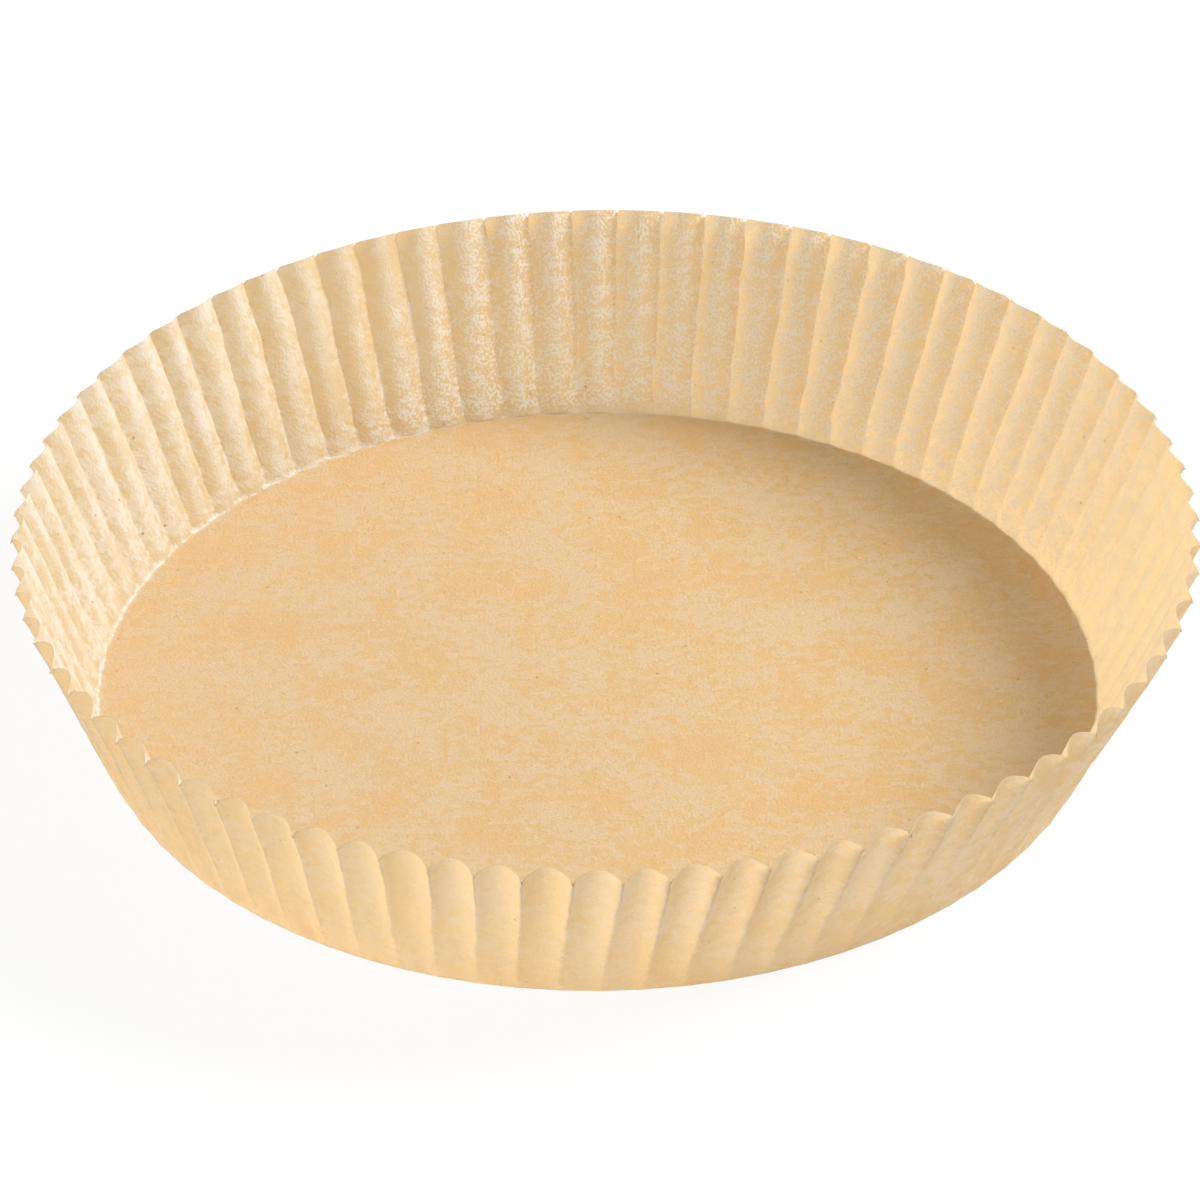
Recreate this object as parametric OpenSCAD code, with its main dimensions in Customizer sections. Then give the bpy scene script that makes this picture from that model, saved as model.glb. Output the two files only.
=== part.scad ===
/* [Base] */
// Diameter of the flat base, out to the corner where the wall turns up
base_d = 200; // [140:1:260]
// Radius of the bend between the base and the wall
bend_r = 1.2; // [0.6:0.1:3]

/* [Wall] */
// Length of the paper wall, from the corner to the rim
wall_len = 42.5; // [25:0.5:70]
// Lean of the creased ridges outward from upright, in degrees
wall_lean = 24.3; // [12:0.1:36]

/* [Flutes] */
// Number of flutes pressed round the wall
flutes = 80; // [56:4:92]
// Depth of a flute at the rim, from the ridge's crease in to the crown of the rib
rim_depth = 2.55; // [1:0.05:3.5]
// Depth of a flute at the corner, where it starts
foot_depth = 0.3; // [0.1:0.05:0.8]
// How much higher a rib ends at the rim than the creases beside it
rib_rise = 1.6; // [0.2:0.1:2.6]

/* [Paper] */
// Thickness of the greaseproof paper
paper_t = 0.1; // [0.06:0.01:0.3]

/* [Hidden] */

// How the flutes deepen up the wall: under 1 they deepen fast at first, as the spare paper does
depth_growth = 0.65;
// How full the rounded ribs are: 1 is a plain sine arch, less is fuller
rib_fullness = 0.9;
// Points along one flute, and how strongly they gather at its sharp crease
flute_steps = 8;
crease_pull = 0.45;
// Where the rows of points lie along the wall, as shares of its length above the bend
wall_rows = [0, 0.35, 1];

// The bend takes up this length of paper on each side of the corner
bend_reach = bend_r * tan((90 - wall_lean) / 2);
// Rows of points from the edge of the flat floor to the rim, as distances from the corner
row_s = [-bend_reach, for (share = wall_rows) bend_reach + share * (wall_len - bend_reach)];
rows = len(row_s);
around = flutes * flute_steps;

// Phase along a flute of point k: 0 at a crease, a half on the rib's crown
function phase(k) =
    let (u = (k % flute_steps) / flute_steps)
    u - crease_pull * sin(360 * u) / (2 * PI);

// Share of the flute's depth at a phase: 0 at the crease, 1 on the rib's crown
function rib(u) = pow(max(0, sin(180 * u)), rib_fullness);

// Depth of the flutes at a distance s from the corner
function depth(s) =
    foot_depth + (rim_depth - foot_depth) * pow(max(0, s) / wall_len, depth_growth);

// Radius and height of the middle of the paper, on the floor where s is below 0. A crease gathers
// some of the wall's paper, so the ribs beside it end higher, and that scallops the rim
function paper_radius(s, u) =
    base_d / 2 + (s < 0 ? s : s * sin(wall_lean)) - depth(s) * rib(u);
function paper_height(s, u) =
    paper_t / 2 + (s < 0 ? 0 : s * cos(wall_lean) + rib_rise * rib(u) * pow(s / wall_len, 2));

// Angle of point k about the axis
function angle(k) = 360 * (floor(k / flute_steps) + phase(k)) / flutes;

// Point k of row i, on the middle of the paper
function middle(i, k) =
    let (turn = (k + around) % around, u = phase(turn), r = paper_radius(row_s[i], u))
    [r * cos(angle(turn)), r * sin(angle(turn)), paper_height(row_s[i], u)];

// Direction from the middle of the paper to its outer face
function outward(i, k) =
    i == 0 ? [0, 0, -1] :
    let (
        along = middle(i, k + 1) - middle(i, k - 1),
        up = middle(min(i + 1, rows - 1), k) - middle(i - 1, k),
        normal = cross(along, up)
    )
    normal / norm(normal);

// All points of one face of the paper, row by row, with the floor's centre last
function face_points(side) = [
    for (i = [0 : rows - 1], k = [0 : around - 1])
        middle(i, k) + side * paper_t / 2 * outward(i, k),
    [0, 0, paper_t / 2 - side * paper_t / 2]
];

// Number of a point in the polyhedron: side 0 is the outer face, 1 the inner
function number(side, i, k) = side * (rows * around + 1) + i * around + k % around;
function centre(side) = side * (rows * around + 1) + rows * around;

// Two triangles for the patch between points a b c d, split from a to c or from b to d
function patch(a, b, c, d, from_a) =
    from_a ? [[a, b, c], [a, c, d]] : [[a, b, d], [b, c, d]];
function flipped(triangles) = [for (t = triangles) [t[2], t[1], t[0]]];

// The patches of one face, split alike on the two halves of each flute
function face_triangles(side) = [
    for (i = [0 : rows - 2], k = [0 : around - 1])
        let (
            rising = k % flute_steps < flute_steps / 2,
            two = patch(number(side, i, k), number(side, i + 1, k),
                        number(side, i + 1, k + 1), number(side, i, k + 1), rising)
        )
        each (side == 0 ? two : flipped(two)),
    for (k = [0 : around - 1])
        let (three = [centre(side), number(side, 0, k), number(side, 0, k + 1)])
        side == 0 ? three : [three[2], three[1], three[0]]
];

// The cut edge of the paper at the rim joins its two faces
rim_triangles = [
    for (k = [0 : around - 1])
        each patch(number(0, rows - 1, k), number(1, rows - 1, k),
                   number(1, rows - 1, k + 1), number(0, rows - 1, k + 1), true)
];

// One round sheet, pressed into a flat base and a fluted wall
module liner() {
    color("burlywood")
    polyhedron(
        points = concat(face_points(1), face_points(-1)),
        faces = concat(face_triangles(0), face_triangles(1), rim_triangles),
        convexity = 12
    );
}

liner();
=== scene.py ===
# %% [markdown]
# # A pressed paper liner for an air fryer basket
#
# The real object is one round sheet of unbleached greaseproof paper. A heated die presses its middle
# flat and gathers its edge into 80 flutes, so the sheet becomes a shallow cup. Nothing is glued or
# folded over. This lesson builds that one sheet as a numpy surface, gives it the paper's finish, and
# sets it on a pale floor in soft light.
#
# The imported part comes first. It is the frame that the visible sheet has to agree with.

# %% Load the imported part
import math

import bpy
import numpy as np
from mathutils import Matrix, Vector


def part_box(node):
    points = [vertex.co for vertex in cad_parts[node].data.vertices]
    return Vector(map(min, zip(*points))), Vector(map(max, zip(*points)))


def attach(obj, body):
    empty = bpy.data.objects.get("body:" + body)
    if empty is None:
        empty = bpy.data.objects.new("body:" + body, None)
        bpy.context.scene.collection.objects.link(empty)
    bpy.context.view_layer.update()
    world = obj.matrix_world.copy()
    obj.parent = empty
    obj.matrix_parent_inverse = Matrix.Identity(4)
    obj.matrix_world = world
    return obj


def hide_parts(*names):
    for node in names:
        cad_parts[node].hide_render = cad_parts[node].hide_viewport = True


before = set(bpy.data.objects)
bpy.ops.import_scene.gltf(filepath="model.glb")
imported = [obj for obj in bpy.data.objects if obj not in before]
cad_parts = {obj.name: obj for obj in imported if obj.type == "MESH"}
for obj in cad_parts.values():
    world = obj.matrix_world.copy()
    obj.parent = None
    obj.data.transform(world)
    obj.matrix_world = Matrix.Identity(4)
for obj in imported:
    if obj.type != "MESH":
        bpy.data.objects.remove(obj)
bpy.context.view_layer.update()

# %% [markdown]
# ## The camera
#
# A shape is judged from the photograph's own place, so the camera comes before the paper. It stands
# far off with a long lens, because the circles of the cup show almost no perspective. It looks down
# at 35 degrees. Three turns of under a hundredth of a radian then put the cup where it lies in the
# picture, which isn't quite the middle. A camera looks along its own -Z, so its axes are written down
# as a matrix: right, up and back. The first size, the rim's radius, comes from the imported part's box.

# %% Place the camera
box_low, box_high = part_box("liner")
RIM_RADIUS = (box_high[0] - box_low[0]) / 2
CAMERA_DISTANCE = 16 * RIM_RADIUS
CAMERA_HEIGHT_ANGLE = math.radians(35.285)
CAMERA_ROUND = math.radians(-1.2)
PAN, TILT, ROLL = 0.00065, -0.00948, -0.00733
PICTURE_SIDE = 1200
FOCAL_PIXELS = 9417.4
SENSOR_MM = 36
NEAREST, FARTHEST = 0.05, 20


def turned(axis, angle):
    """The matrix of a turn by an angle about one of the camera's own axes"""
    return np.array(Matrix.Rotation(angle, 3, axis))


away = np.array([0, -math.cos(CAMERA_HEIGHT_ANGLE), math.sin(CAMERA_HEIGHT_ANGLE)])
right = np.array([1.0, 0, 0])
down = np.cross(right, away)
looking = turned("Z", ROLL) @ turned("X", TILT) @ turned("Y", PAN) @ np.stack([right, down, -away])
round_part = turned("Z", CAMERA_ROUND)
# From right, down and forward, as a picture is read, to Blender's right, up and back
axes = (round_part @ looking.T) * np.array([1, -1, -1])
place = Matrix(axes.tolist()).to_4x4()
place.translation = round_part @ away * CAMERA_DISTANCE

camera_data = bpy.data.cameras.new("camera")
camera = bpy.data.objects.new("camera", camera_data)
bpy.context.scene.collection.objects.link(camera)
bpy.context.scene.camera = camera
camera.matrix_world = place
camera_data.sensor_width = SENSOR_MM
camera_data.lens = FOCAL_PIXELS * SENSOR_MM / PICTURE_SIDE
camera_data.clip_start, camera_data.clip_end = NEAREST, FARTHEST
print("camera at", [round(v, 3) for v in place.translation], "lens", round(camera_data.lens, 1), "mm")

# %% [markdown]
# ## The sizes of the sheet
#
# The wall leans outward by 24.3 degrees. With that lean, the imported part's height gives the length
# of paper in the wall, and the rim's radius then gives the base's. Along the wall run 80 flutes: a
# sharp crease outside, then a full round rib inside. All sizes are in metres.
#
# A flute's depth goes from the foot's to the rim's by a power of the way up the wall. Under 1, the
# flutes deepen fast at first. The base lies a little to the left of the rim's centre, because the
# sheet sprang back unevenly.

# %% Sizes of the sheet
MM = 0.001
PAPER = 0.1 * MM
WALL_LEAN = math.radians(24.3)
RIB_RISE = 1.6 * MM
WALL_LENGTH = (box_high[2] - RIB_RISE - PAPER) / math.cos(WALL_LEAN)
BASE_RADIUS = RIM_RADIUS - PAPER - WALL_LENGTH * math.sin(WALL_LEAN)
BEND_RADIUS = 0.7 * MM
FLUTES = 80
FOOT_DEPTH, RIM_DEPTH = 0.35 * MM, 2.55 * MM
FAR_GROWTH, NEAR_GROWTH = 0.4, 0.85
RIB_FULLNESS = 0.9
BASE_SHIFT = -1.8 * MM
print("base radius and wall, mm:", round(BASE_RADIUS / MM, 2), round(WALL_LENGTH / MM, 2))
print("flat sheet:", round(2 * (BASE_RADIUS + WALL_LENGTH) / MM), "mm across")

# %% [markdown]
# ## Chance that repeats itself
#
# Pressed paper is never quite even. Chance has to be the same in each run, so it comes from a table
# of seeded random numbers. A smooth field of it is made as cloth patterns are: a random height at
# each crossing of a grid, blended softly in between. The same soft step serves wherever one thing
# gives way to another.

# %% Soft steps and smooth random fields
TABLE_SIDE = 512


def soft(t):
    """3 t^2 - 2 t^3, which goes from 0 to 1 as t does and is level at both ends"""
    return t * t * (3 - 2 * t)


def between(values, low, high):
    """0 below low, 1 above high and a soft step from one to the other. High may be the lower."""
    return soft(np.clip((values - low) / (high - low), 0, 1))


def field(x, y, seed):
    """Random heights from -1 to 1 at whole numbers of x and y, with a soft blend between the four
    round each point"""
    table = np.random.default_rng(seed).uniform(-1, 1, (TABLE_SIDE, TABLE_SIDE))
    column, row = np.floor(x).astype(int), np.floor(y).astype(int)
    across, along = soft(x - column), soft(y - row)

    def crossing(i, j):
        return table[(column + i) % TABLE_SIDE, (row + j) % TABLE_SIDE]

    near = crossing(0, 0) * (1 - across) + crossing(1, 0) * across
    far = crossing(0, 1) * (1 - across) + crossing(1, 1) * across
    return near * (1 - along) + far * along


sample = field(*np.mgrid[0:9:0.1, 0:9:0.1], 1)
print("a field spans", np.round([sample.min(), sample.max()], 2))

# %% [markdown]
# ## Two parameters for the whole sheet
#
# Every point of the sheet has two parameters. The first is its way round, counted in flutes: number
# is the crease before it, and u the share of the way to the next one. The second, s, is its distance
# from the corner between base and wall along the paper: negative on the base, positive on the wall.
# The rows lie close together in the bend, where the shape changes fast, and the columns gather at the
# creases.

# %% Rows and columns of the grid
STEPS = 10
CREASE_PULL = 0.45
FLOOR_SHARES = (0.88, 0.65, 0.45, 0.28, 0.15, 0.07, 0.035, 0.015)
BEND_ROWS, WALL_ROWS = 5, 45
bend_reach = BEND_RADIUS * math.tan((math.pi / 2 - WALL_LEAN) / 2)
floor_rows = -BASE_RADIUS * np.array(FLOOR_SHARES)
bend_rows = np.linspace(-bend_reach, bend_reach, BEND_ROWS)
wall_rows = bend_reach + (WALL_LENGTH - bend_reach) * np.linspace(0, 1, WALL_ROWS + 1)[1:]
row_s = np.concatenate([floor_rows, bend_rows, wall_rows])
step = np.arange(FLUTES * STEPS)
phase = step % STEPS / STEPS
phase = phase - CREASE_PULL * np.sin(2 * np.pi * phase) / (2 * np.pi)
s, u = np.meshgrid(row_s, phase, indexing="ij")
number = np.broadcast_to(step // STEPS, s.shape)
rows, columns = s.shape
up_wall = np.clip(s / WALL_LENGTH, 0, 1)
print("grid:", rows, "rows by", columns, "columns")

# %% [markdown]
# ## Flutes that differ a little
#
# The spacing of the flutes drifts round the cup: where it gains half a flute on one side, it loses
# it on another. Three slow waves write that down. The die turned a trace as it closed, so the base
# is turned back by a quarter of a flute. A crease wanders by some tenths of a millimetre as it
# climbs, and each flute has its own depth. On the far side the flutes are deep from low down, and on
# the near side they deepen more evenly, so the foot of the wall is smoother there. The near creases
# are the straighter ones, too.

# %% How far a crease leaves its even place
# For each part of the wander: its reach in radians, its length along the crease, how far apart two
# creases lie in the table of chance, and the seed
WANDERS = ((0.0055, 50 * MM, 7.31, 11), (0.0030, 6 * MM, 5.17, 12), (0.0018, 2 * MM, 3.77, 13))
WANDER_START = 6 * MM
# For each wave of the drift: its rounds in a full turn, its height in flutes and its start in degrees
DRIFT_WAVES = ((1, 0.46, -29), (2, 0.15, 24), (3, 0.12, -4))
DRIFT_MEAN = 0.37


def wander(crease, distance):
    """A crease's own way, in radians, from nothing at the corner: a slow lean, kinks every 6 mm or so
    and a fine raggedness, added up"""
    crease = crease % FLUTES
    parts = (reach * field(crease * apart, distance / length, seed)
             for reach, length, apart, seed in WANDERS)
    return np.clip(distance / WANDER_START, 0, 1) * sum(parts)


def drift(angle):
    """How many flutes a place is ahead of even spacing: a constant and three cosine waves"""
    waves = (height * np.cos(rounds * angle + math.radians(start))
             for rounds, height, start in DRIFT_WAVES)
    return sum(waves, DRIFT_MEAN)


print("creases wander by up to", round(float(np.degrees(np.abs(wander(number, s)).max())), 2), "degrees")

# %% Where each flute lies and how deep it is
TWIST = 0.23
NEAR_STEADIER, NEAR_SHALLOWER = 0.4, 0.7
DEPTH_CHANCE = 0.06
pitch = 2 * np.pi / FLUTES
turn = (number + u) * pitch
near_side = 0.5 - 0.5 * np.sin(turn)
turn = turn + pitch * (drift(turn) - TWIST * (1 - up_wall))
strayed = (1 - u) * wander(number, s) + u * wander(number + 1, s)
turn = turn + strayed * (1 - NEAR_STEADIER * near_side)
flute_depth = 1 - DEPTH_CHANCE * (1 + field(number * 1.0, 0 * s, 14))
depth_growth = FAR_GROWTH + (NEAR_GROWTH - FAR_GROWTH) * near_side
foot_depth = FOOT_DEPTH * (1 - NEAR_SHALLOWER * near_side)
print("each flute has", round(float(flute_depth.min()), 2), "to 1 of the full depth")

# %% [markdown]
# ## The surface formula
#
# The shape is written as a formula, and not modelled by hand, because its rule is simple and 80
# flutes would have to be edited one by one. The profile from floor to rim is a line, an arc and a
# line. The flutes then push it inward.

# %% From two parameters to points
FLUTE_FADE = 3 * MM


def rib_share(u):
    """0 on a crease and 1 on the crown of a rib: the sine of half a turn, to a power under 1 that
    makes the rib fuller"""
    return np.maximum(np.sin(np.pi * u), 0) ** RIB_FULLNESS


def profile(s):
    """Radius and height of a crease's line: flat floor, then an arc that touches both lines, then
    the leaning wall"""
    full = math.pi / 2 - WALL_LEAN
    bend = full * np.clip((s + bend_reach) / (2 * bend_reach), 0, 1)
    floor_part = np.minimum(s, -bend_reach)
    wall_part = np.maximum(s - bend_reach, 0)
    radius = BASE_RADIUS + floor_part + BEND_RADIUS * np.sin(bend) + wall_part * math.sin(WALL_LEAN)
    height = BEND_RADIUS * (1 - np.cos(bend)) + wall_part * math.cos(WALL_LEAN)
    return radius, height


def sheet_points(s, rib, turn):
    """The middle of the paper: the profile, less the flute's depth times the rib's share, turned
    about the axis. The flutes fade out on the floor. A rib also ends higher at the rim than a
    crease, and the base lies a little to one side."""
    depth = foot_depth + (RIM_DEPTH - foot_depth) * up_wall ** depth_growth
    depth = depth * flute_depth * np.clip(1 + (s + bend_reach) / FLUTE_FADE, 0, 1)
    radius, height = profile(s)
    radius = radius - depth * rib
    height = height + RIB_RISE * flute_depth * rib * up_wall ** 2 + PAPER / 2
    shift = BASE_SHIFT * (1 - soft(up_wall))
    return np.stack([radius * np.cos(turn) + shift, radius * np.sin(turn), height], -1)


rib = rib_share(u)
middle = sheet_points(s, rib, turn)
print("rim radius, mm:", round(1000 * float(np.hypot(middle[-1, :, 0], middle[-1, :, 1]).max()), 2))

# %% [markdown]
# ## Creased and crumpled
#
# Where paper is gathered it crumples: tiny facets with sharp edges between them. A smooth field has
# no edges, but its absolute value does, along each line where it crosses zero. The crumples are laid
# out on the flat sheet, before pressing, so they run on across creases and round the bend. Small
# wrinkles join them, most on the right. The floor only heaves by a few tenths of a millimetre, and
# never below the surface that it stands on. At the rim, each crease ends in a small notch, because
# the gathered paper was pulled down there.

# %% Places on the flat sheet
# In millimetres, as every pattern on the paper is
flat_radius = BASE_RADIUS + s
flat_x, flat_y = flat_radius * np.cos(turn) / MM, flat_radius * np.sin(turn) / MM


def on_flat(size, start, seed):
    """A random field on the flat sheet, with features about size millimetres across. Start is where
    in the table the sheet's centre lies."""
    return field(flat_x / size + start, flat_y / size + start, seed)


def outward(points):
    """Unit direction from the middle of the paper to its outer face: the cross product of the way
    round and the way up"""
    around = np.roll(points, -1, axis=1) - np.roll(points, 1, axis=1)
    upward = np.gradient(points, axis=0)
    normal = np.cross(around, upward)
    return normal / np.linalg.norm(normal, axis=-1, keepdims=True)


print("flat sheet reaches", round(float(flat_radius.max()) / MM, 1), "mm from its centre")

# %% Add crumples, a gentle heave and notches
CRUMPLE, WRINKLE, HEAVE = 0.15 * MM, 0.11 * MM, 0.3 * MM
CRUMPLE_FADE, HEAVE_FADE = 3 * MM, 20 * MM
NOTCH, NOTCH_CHANCE = 0.3 * MM, 0.5 * MM
crumple = 0.5 - np.abs(on_flat(5, 40, 21))
crumple = crumple + 0.5 * (0.5 - np.abs(on_flat(2.6, 90, 22)))
above_corner = np.clip(s / CRUMPLE_FADE, 0, 1)
crumpled = CRUMPLE * above_corner * (1 - 0.6 * up_wall) * crumple
wrinkled = WRINKLE * (on_flat(2.2, 20, 25) * between(flat_x, -110, 80)) * above_corner
middle = middle + (crumpled + wrinkled)[..., None] * outward(middle)
heave = 0.5 + 0.5 * on_flat(30, 9, 23)
middle[..., 2] += HEAVE * heave * np.clip(-s / HEAVE_FADE, 0, 1)
notch = NOTCH + NOTCH_CHANCE * (1 + field(number[-1] * 2.3, 0 * s[-1], 24))
middle[-1, :, 2] -= notch * (phase == 0)
print("crumples reach", round(float(np.abs(crumpled).max()) / MM, 3), "mm")

# %% [markdown]
# ## From a surface to a sheet of paper
#
# A surface has no thickness, and light passes a real sheet in at one face and out at the other. So
# the grid is laid twice, half the paper's thickness to each side of the middle. A fan of triangles
# closes the centre of each face, and a strip of quads joins the two along the cut rim.

# %% Points and faces of the two sides
def grid_faces(rows, columns, first, centre):
    """Quads between the rows of a ring-shaped grid and triangles from its first row to the centre,
    counter-clockwise seen from above"""
    near = first + np.arange(columns)
    far = first + np.roll(np.arange(columns), -1)
    climb = np.arange(rows - 1)[:, None] * columns
    quads = np.stack([near + climb, near + climb + columns, far + climb + columns, far + climb], -1)
    fan = np.stack([np.full(columns, centre), near, far], -1)
    return quads.reshape(-1, 4), fan


side_points = rows * columns + 1
half = outward(middle) * PAPER / 2
centre_height = middle[0, :, 2].mean()
corners = []
faces_of_paper = []
# The inner face comes first, with side -1. The outer one's faces run the other way round.
for layer, side in enumerate((-1, 1)):
    corners += [(middle + side * half).reshape(-1, 3), [[0, 0, centre_height - side * PAPER / 2]]]
    first = layer * side_points
    quads, fan = grid_faces(rows, columns, first, first + side_points - 1)
    faces_of_paper += [quads[:, ::-side], fan[:, ::-side]]
points = np.concatenate(corners)
rim_in = (rows - 1) * columns + np.arange(columns)
rim_out = rim_in + side_points
strip = np.stack([rim_in, rim_out, np.roll(rim_out, -1), np.roll(rim_in, -1)], -1)
faces_of_paper.append(strip)
print("points:", len(points), "faces:", sum(len(part) for part in faces_of_paper))

# %% [markdown]
# ## What the finish needs to know
#
# The paper's fibres, clouds and specks belong to the flat sheet, so each point keeps the place that
# it had before pressing. Each point also keeps how much of every other effect it takes. The far wall
# is flecked most, and browned most as painted shade. The other walls but the left are browned a
# little as painted shade too, so the left wall, which faces the lamp, stays paler as painted light;
# it also came out smooth and dense. The base is a little olive, and paler at its left as painted
# light. Outside, the creases are ridges, rubbed pale and paler still as a painted highlight. The
# crowns of the ribs and the corner's left carry painted highlight as well. These are point
# attributes: numbers that ride on the mesh and that the material can read, and cheaper to work out
# here once than in the shader for every ray.

# %% Parts of the sheet
from_corner = s / MM
on_wall = between(from_corner, -0.5, 3)
on_base = 1 - on_wall
left_wall = on_wall * between(flat_x, -50, -110)
far_wall = on_wall * between(flat_x, -65, -15) * between(flat_y, 15, 65)
wall_foot = between(from_corner, 12, 1)
crown_highlight = between(rib, 0.75, 0.92)
facet_edge = between(crumple, 0.3, 0.6)
crease_line = between(rib, 0.3, 0.05)
ridge = between(rib, 0.5, 0.05) * between(from_corner, 4, 20)
corner_line = between(np.abs(from_corner - 0.1), 0.8, 0.25)
print("share of the wall that is far:", round(float(far_wall.sum() / on_wall.sum()), 2))

# %% Shares of each effect
none = 0 * s
flecked = 0.12 * on_wall + far_wall * (0.66 + 0.3 * wall_foot)
# Painted highlight on each rib's crown, and real whitening along the crumples' edges
pressed = on_wall * (0.3 * crown_highlight + 0.15 * facet_edge)
# The corner line is real whitening, made stronger on the left as a painted highlight where the lamp
# strikes the bend
corner = corner_line * (0.45 + 0.55 * between(flat_x, -10, -80))
# Each effect has its shares inside and outside
shares = {
    "flecked": (flecked, none),
    # Outside, the ridges are rubbed pale, and the pale is also a painted highlight where they catch the
    # lamp
    "pressed": (pressed, 0.22 * ridge),
    "creased": (0.5 * on_wall * crease_line, none),
    "corner": (corner, corner),
    # Painted shade: browner on the far wall most, a little on every other wall but the left one, which
    # the lamp lights
    "painted_shade": (0.12 * (on_wall - left_wall) + 0.72 * far_wall, none),
    "olive": (0.3 * on_base, 0.3 * on_base),
    # Painted light: the base paler towards its left, where the floor is lit most
    "painted_light_left": (0.3 * on_base * between(flat_x, 40, -90), none),
    "dense": (0.17 * left_wall, none),
}
print("the far wall's flecks are as strong as", round(float(flecked.max()), 2))

# %% Make the mesh
def new_piece(name, points, face_parts):
    """A mesh object from an array of points and arrays of faces, with its place in its mesh"""
    mesh = bpy.data.meshes.new(name)
    mesh.from_pydata(points.tolist(), [], [face for part in face_parts for face in part.tolist()])
    mesh.shade_smooth()
    piece = bpy.data.objects.new(name, mesh)
    bpy.context.scene.collection.objects.link(piece)
    return piece


def keep_numbers(piece, name, values, kind="FLOAT"):
    """Store one number, or one vector, for each point of a piece"""
    attribute = piece.data.attributes.new(name, kind, "POINT")
    attribute.data.foreach_set("vector" if kind == "FLOAT_VECTOR" else "value",
                               np.ascontiguousarray(values, dtype=np.float32).ravel())


OUTSIDE_AWAY = 400
liner = new_piece("paper_liner", points, faces_of_paper)
flat = np.stack([flat_x, flat_y, 0 * flat_x], -1).reshape(-1, 3)
flat = np.concatenate([flat, [[0, 0, 0]]])
# The outer face takes its pattern from another place, because the two faces of a sheet differ
flat_sides = np.concatenate([flat, flat + [OUTSIDE_AWAY, 0, 0]])
keep_numbers(liner, "flat", flat_sides, "FLOAT_VECTOR")
for name, sides in shares.items():
    keep_numbers(liner, name, np.concatenate([np.append(part.ravel(), part[0].mean()) for part in sides]))
print("attributes:", [a.name for a in liner.data.attributes])

# %% [markdown]
# Smooth shading would round the creases and the cut rim, so those edges are marked sharp. The near
# wall's creases did come out rounder than the others, so they stay smooth.

# %% Mark the sharp edges
SHARP_FROM = 4 * MM
ROUNDER_FROM = 0.65


def mark_sharp(mesh):
    """Sharp where both ends of an edge lie on the same crease, above the foot of the wall and away
    from its near side, or both on the rim of the same side"""
    ends = np.empty(len(mesh.edges) * 2, dtype=np.int64)
    mesh.edges.foreach_get("vertices", ends)
    ends = ends.reshape(-1, 2)
    layer, local = ends // side_points, ends % side_points
    row, column = local // columns, local % columns
    on_grid = (row < rows).all(axis=1)
    above = (row_s[np.minimum(row, rows - 1)] > SHARP_FROM).all(axis=1)
    crisp = near_side[-1][column[:, 0]] < ROUNDER_FROM
    crease = (column[:, 0] == column[:, 1]) & (column[:, 0] % STEPS == 0) & above & crisp
    rim = (row == rows - 1).all(axis=1) & (layer[:, 0] == layer[:, 1])
    marked = on_grid & (crease | rim)
    sharp = mesh.attributes.new("sharp_edge", "BOOLEAN", "EDGE")
    sharp.data.foreach_set("value", marked)
    return int(marked.sum())


print("sharp edges:", mark_sharp(liner.data))

# %% [markdown]
# ## Shader maths written as sums
#
# A material is a tree of nodes. Written out one by one they hide the idea, so a small class wraps a
# socket. Then 1 - mask adds the Math node by itself.

# %% The class for shader expressions
class Wire:
    """A socket in a node tree that can be used in a Python expression"""

    def __init__(self, tree, socket):
        self.tree, self.socket = tree, socket

    @staticmethod
    def add(tree, kind, settings, inputs, output=0):
        """Add a node, set its settings, then give each input its value or its link"""
        node = tree.nodes.new("ShaderNode" + kind)
        for name, value in settings.items():
            setattr(node, name, value)
        for name, value in inputs.items():
            if isinstance(value, Wire):
                tree.links.new(value.socket, node.inputs[name])
            else:
                node.inputs[name].default_value = value
        return Wire(tree, node.outputs[output])

    def math(self, operation, *values):
        """The Math node that a sum or a product stands for"""
        return Wire.add(self.tree, "Math", {"operation": operation}, dict(enumerate(values)))

    def __add__(self, other):
        return self.math("ADD", self, other)

    def __sub__(self, other):
        return self.math("SUBTRACT", self, other)

    def __rsub__(self, other):
        return self.math("SUBTRACT", other, self)

    def __mul__(self, other):
        return self.math("MULTIPLY", self, other)

    __radd__, __rmul__ = __add__, __mul__

    def between(self, low, high):
        """0 below low, 1 above high and a soft step from one to the other. High may be the lower."""
        return Wire.add(self.tree, "MapRange", {"interpolation_type": "SMOOTHSTEP"},
                        {"Value": self, "From Min": low, "From Max": high})


print("expressions such as 1 - mask * 0.5 now add their Math nodes")

# %% [markdown]
# ## The paper
#
# Greaseproof paper is beaten so long that its fibres fuse. Most of the light that it doesn't swallow
# goes through and comes out warmer, and the sheet has a faint gloss. So the finish is two shaders in
# a mix: one that sends light back and one that lets it through. Where the paper was stressed, at the
# corner, the creases and the crumples, it turns whitish and lets less through, because air gets back
# between the fibres. The crowns of the ribs, and the corner's left, are whitened in the same way as a
# painted highlight.

# %% Start the paper's material
def empty_material(name):
    """A material with an empty tree and its output node"""
    material = bpy.data.materials.new(name)
    material.use_nodes = True
    material.node_tree.nodes.clear()
    output = material.node_tree.nodes.new("ShaderNodeOutputMaterial")
    return material, material.node_tree, output


paper, tree, paper_output = empty_material("greaseproof_paper")


def add(kind, settings=None, output=0, **inputs):
    """A node in the paper's tree. An input's name is written with _ for a space."""
    return Wire.add(tree, kind, settings or {}, {k.replace("_", " "): v for k, v in inputs.items()},
                    output)


def blend(mask, first, second):
    """Colour that goes from the first to the second as the mask goes from 0 to 1"""
    return Wire.add(tree, "Mix", {"data_type": "RGBA"}, {0: mask, 6: first, 7: second}, 2)


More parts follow.
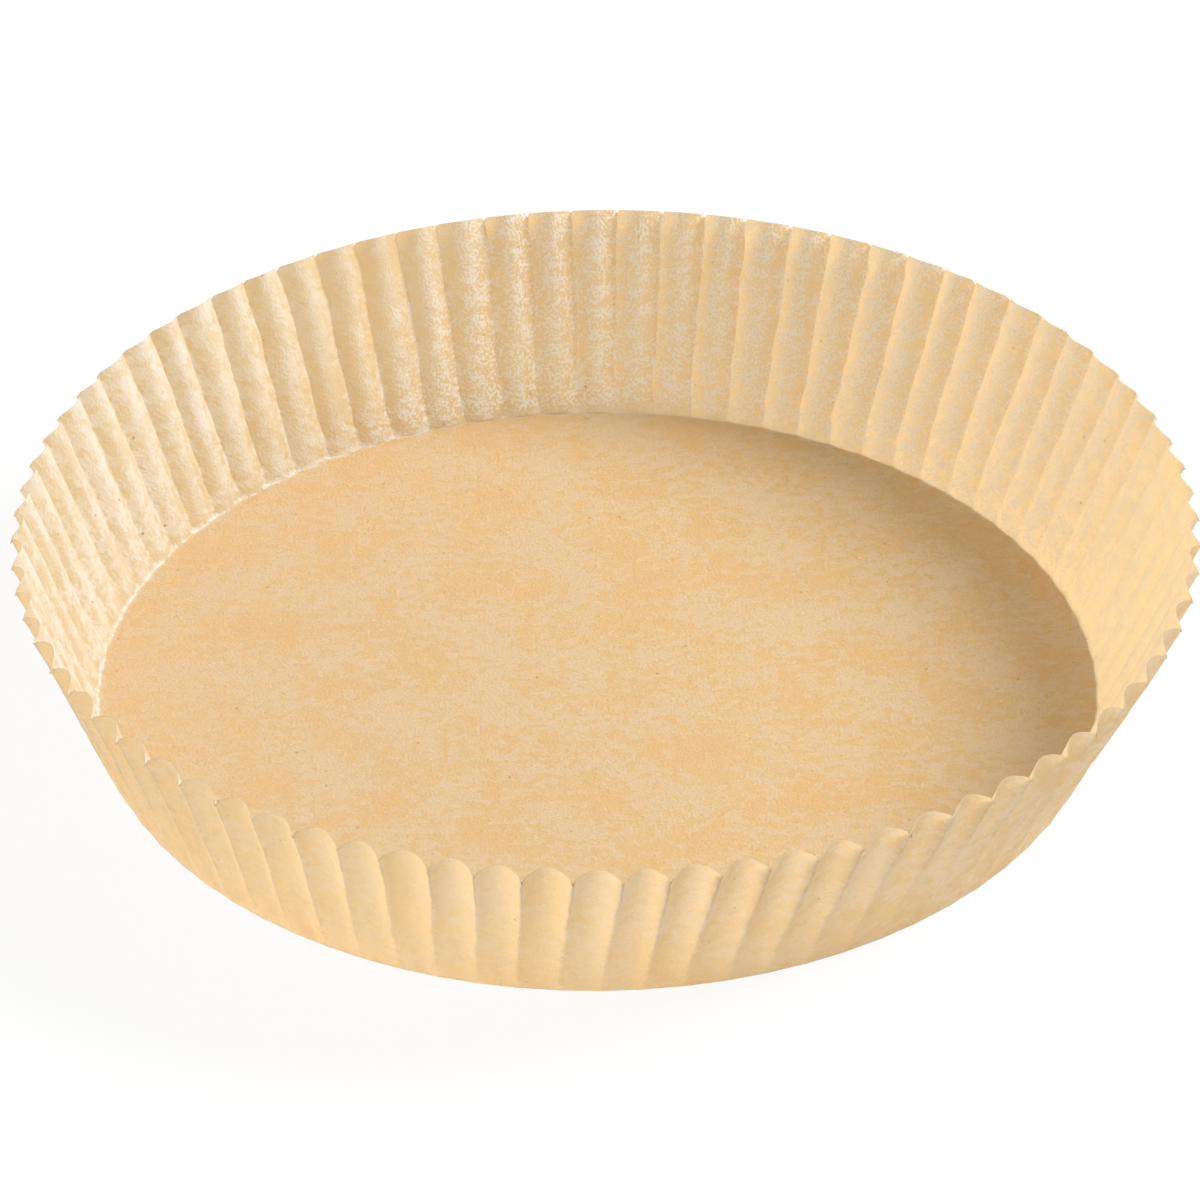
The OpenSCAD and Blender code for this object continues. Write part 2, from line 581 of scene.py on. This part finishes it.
def scaled(vector, factors):
    """A vector times one factor for each axis"""
    return Wire.add(tree, "VectorMath", {"operation": "MULTIPLY"}, {0: vector, 1: factors})


def noise(vector, size, detail=2.0, roughness=0.5):
    """Noise whose features are about size millimetres across"""
    return add("TexNoise", {"noise_dimensions": "2D"}, Vector=vector, Scale=1 / size, Detail=detail,
               Roughness=roughness)


sheet_place = add("Attribute", {"attribute_name": "flat"}, "Vector")
share = {name: add("Attribute", {"attribute_name": name}, "Fac") for name in shares}
print("the paper reads", [n.attribute_name for n in tree.nodes if n.bl_idname == "ShaderNodeAttribute"])

# %% [markdown]
# Pulp settles in clouds, with smaller clouds in them down to single clumps, so one noise with a few
# octaves gives both. Fibres lie along the direction in which the paper machine ran. Noise stretched
# seven times one way gives them. Drifts are the widest and faintest of all, and a fine fuzz breaks
# up the edges of the whitened places.

# %% Clouds, fibres, drifts and fuzz
clouds = noise(scaled(sheet_place, (0.75, 1.25, 1.0)), 3.0, 2.0, 0.9)
fibres = noise(scaled(sheet_place, (0.4, 2.8, 1.0)), 0.8, 0.0)
drifts = noise(sheet_place, 15.0, 0.0)
fuzz = noise(sheet_place, 0.6, 0.0)
print("noise nodes:", sum(n.bl_idname == "ShaderNodeTexNoise" for n in tree.nodes))

# %% [markdown]
# Specks are bits of bark left in unbleached pulp. A Voronoi pattern gives one point for each cell.
# Random numbers for each cell then decide which of them carry a speck, and how large it is.

# %% Specks of bark
SPECK_CELL = 6.0
SPECK_CHANCE = 0.12
SPECK_RADIUS, SPECK_GROWTH, SPECK_EDGE = 0.12, 2.0, 0.08
passed_over = 1 - SPECK_CHANCE
distance = add("TexVoronoi", {"feature": "F1", "voronoi_dimensions": "2D"}, "Distance",
               Vector=sheet_place, Scale=1 / SPECK_CELL)
cell_colour = Wire(tree, distance.socket.node.outputs["Color"])
chance = add("SeparateColor", None, "Red", Color=cell_colour)
chosen = chance.between(passed_over, passed_over + 0.01)
radius = SPECK_RADIUS + SPECK_GROWTH * (chance - passed_over)
speck = (distance * SPECK_CELL - radius).between(SPECK_EDGE, -SPECK_EDGE) * chosen
print("specks: one each", round(SPECK_CELL ** 2 / SPECK_CHANCE / 100, 1), "square cm")

# %% [markdown]
# The colours are mostly written as they are seen in even light. The far wall, and a little every wall
# but the left, is browned as painted shade, and the base is paler at its left as painted light. On
# the wall, pressing has whitened the paper: in clouds and flecks, most of all low down, along the
# creases and in a thin line round the corner, which is stronger on the left as a painted highlight.
# The white on the crown of each rib is a painted highlight.

# %% Colour of the paper
DEEP_TAN = (0.88, 0.72, 0.42, 1)
PALE = (0.96, 0.94, 0.86, 1)
# White for real whitening and for painted highlight
WHITE_OF_WHITENING_AND_HIGHLIGHT = (0.98, 0.98, 0.96, 1)
# The brown of the painted shade
SHADE_BROWN = (0.74, 0.54, 0.28, 1)
OLIVE = (0.82, 0.80, 0.54, 1)
BARK = (0.33, 0.17, 0.06, 1)

patches = (clouds + 0.35 * drifts).between(0.6, 0.76)
colour = blend(0.15 + 0.6 * patches + 0.3 * fibres.between(0.3, 0.7), DEEP_TAN, PALE)
colour = blend(share["olive"], colour, OLIVE)
# Painted light on the left of the base
colour = blend(share["painted_light_left"], colour, PALE)
# Painted shade on the walls, strongest on the far wall
colour = blend(share["painted_shade"], colour, SHADE_BROWN)
flecks = (0.5 * clouds + 0.5 * fuzz).between(0.46, 0.56)
streaks = clouds.between(0.4, 0.55)
# Real whitening in flecks, along the creases and round the corner, with painted highlight on the crowns,
# the outer ridges and the corner's left
whitening_and_highlight = flecks * share["flecked"] + share["pressed"] + streaks * share["creased"]
whitening_and_highlight = (whitening_and_highlight + (0.3 + 0.7 * streaks) * share["corner"]).between(-0.1, 1.1)
colour = blend(whitening_and_highlight, colour, WHITE_OF_WHITENING_AND_HIGHLIGHT)
colour = blend(speck * 0.8, colour, BARK)
print("colour nodes:", sum(n.bl_idname == "ShaderNodeMix" for n in tree.nodes))

# %% [markdown]
# The relief that is too fine for the mesh is a bump: the fuzz of single fibres. A bump works its
# height out three times over for each ray, so it gets the cheapest noise. Three quarters of the
# light goes through plain paper, and less where it is thick with pulp, whitened, pressed dense or
# painted with a highlight.

# %% Relief, gloss and light let through
GLOW = (1.0, 0.86, 0.63, 1)
bump = add("Bump", None, 0, Strength=0.6, Distance=0.00015, Height=fuzz)
gloss = 0.48 + 0.14 * clouds
through = 0.75 - 0.08 * patches - 0.3 * whitening_and_highlight - share["dense"]

back = add("BsdfPrincipled", None, 0, Base_Color=colour, Roughness=gloss, Normal=bump)
forth = add("BsdfTranslucent", None, 0, Color=GLOW, Normal=bump)
mixed = Wire.add(tree, "MixShader", {}, {0: through, 1: back, 2: forth})
tree.links.new(mixed.socket, paper_output.inputs["Surface"])
liner.data.materials.append(paper)
print("paper nodes:", len(tree.nodes))

# %% [markdown]
# ## Floor, sky and lamp
#
# The picture's background is plain white. The floor and the sky are white to the camera and to rays
# that glass or a mirror would send on. Light that paper scatters on its way through is both a
# transmission ray and a diffuse ray, so diffuse ones are taken off. The paper gets its light from a
# softer sky and one wide lamp. The lamp stands to the right and a little behind, so the far wall
# glows with the light that comes through it.

# %% Floor
FLOOR_REACH, FLOOR_DROP = 3, 0.00005
FLOOR_GREY = (0.9, 0.9, 0.9, 1)
FLOOR_SHINE, FLOOR_SHOWN = 1.05, 0.85
WHITE = (1, 1, 1, 1)
floor_corners = FLOOR_REACH * np.array([[-1, -1, 0], [1, -1, 0], [1, 1, 0], [-1, 1, 0]])
floor = new_piece("floor", floor_corners - np.array([0, 0, FLOOR_DROP]), [np.array([[0, 1, 2, 3]])])
floor_finish, floor_tree, floor_output = empty_material("pale_floor")


def straight_ray(tree):
    """1 for a ray that comes from the camera, from a reflection or through something clear"""
    path = {name: Wire.add(tree, "LightPath", {}, {}, "Is " + name + " Ray")
            for name in ("Camera", "Glossy", "Transmission", "Diffuse")}
    clear = path["Transmission"] * (1 - path["Diffuse"])
    return (path["Camera"] + path["Glossy"] + clear).between(0, 1)


shown = straight_ray(floor_tree) * FLOOR_SHOWN
matt = Wire.add(floor_tree, "BsdfDiffuse", {}, {"Color": FLOOR_GREY})
lit = Wire.add(floor_tree, "Emission", {}, {"Color": WHITE, "Strength": FLOOR_SHINE})
plain = Wire.add(floor_tree, "MixShader", {}, {0: shown, 1: matt, 2: lit})
floor_tree.links.new(plain.socket, floor_output.inputs["Surface"])
floor.data.materials.append(floor_finish)
print("floor:", floor.dimensions.x, "m wide")

# %% Sky
SKY = 0.53
world = bpy.data.worlds.new("soft_sky")
bpy.context.scene.world = world
world.use_nodes = True
sky_tree = world.node_tree
sky_tree.nodes.clear()
strength = SKY + (1 - SKY) * straight_ray(sky_tree)
sky = Wire.add(sky_tree, "Background", {}, {"Color": WHITE, "Strength": strength})
sky_output = sky_tree.nodes.new("ShaderNodeOutputWorld")
sky_tree.links.new(sky.socket, sky_output.inputs["Surface"])
print("sky strength for the paper:", SKY)

# %% Lamp
LAMP_ROUND, LAMP_UP = math.radians(14), math.radians(38)
LAMP_AWAY, LAMP_SIDE, LAMP_POWER = 1.6, 0.8, 24.0
lamp_data = bpy.data.lights.new("soft_lamp", "AREA")
lamp_data.shape = "DISK"
lamp_data.size = LAMP_SIDE
lamp_data.energy = LAMP_POWER
lamp = bpy.data.objects.new("soft_lamp", lamp_data)
bpy.context.scene.collection.objects.link(lamp)
aim = np.array([math.cos(LAMP_ROUND) * math.cos(LAMP_UP), math.sin(LAMP_ROUND) * math.cos(LAMP_UP),
                math.sin(LAMP_UP)])
lamp.location = aim * LAMP_AWAY
lamp.rotation_mode = "QUATERNION"
lamp.rotation_quaternion = lamp.location.to_track_quat("Z", "Y")
print("lamp at", [round(v, 2) for v in lamp.location])

# %% [markdown]
# ## Join the sheet to the part
#
# The visible sheet rides on the part's one body and stands for its one node.

# %% Join the sheet to the part
bpy.context.scene.view_settings.view_transform = "Standard"
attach(liner, "root")
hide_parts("liner")
bpy.context.view_layer.update()
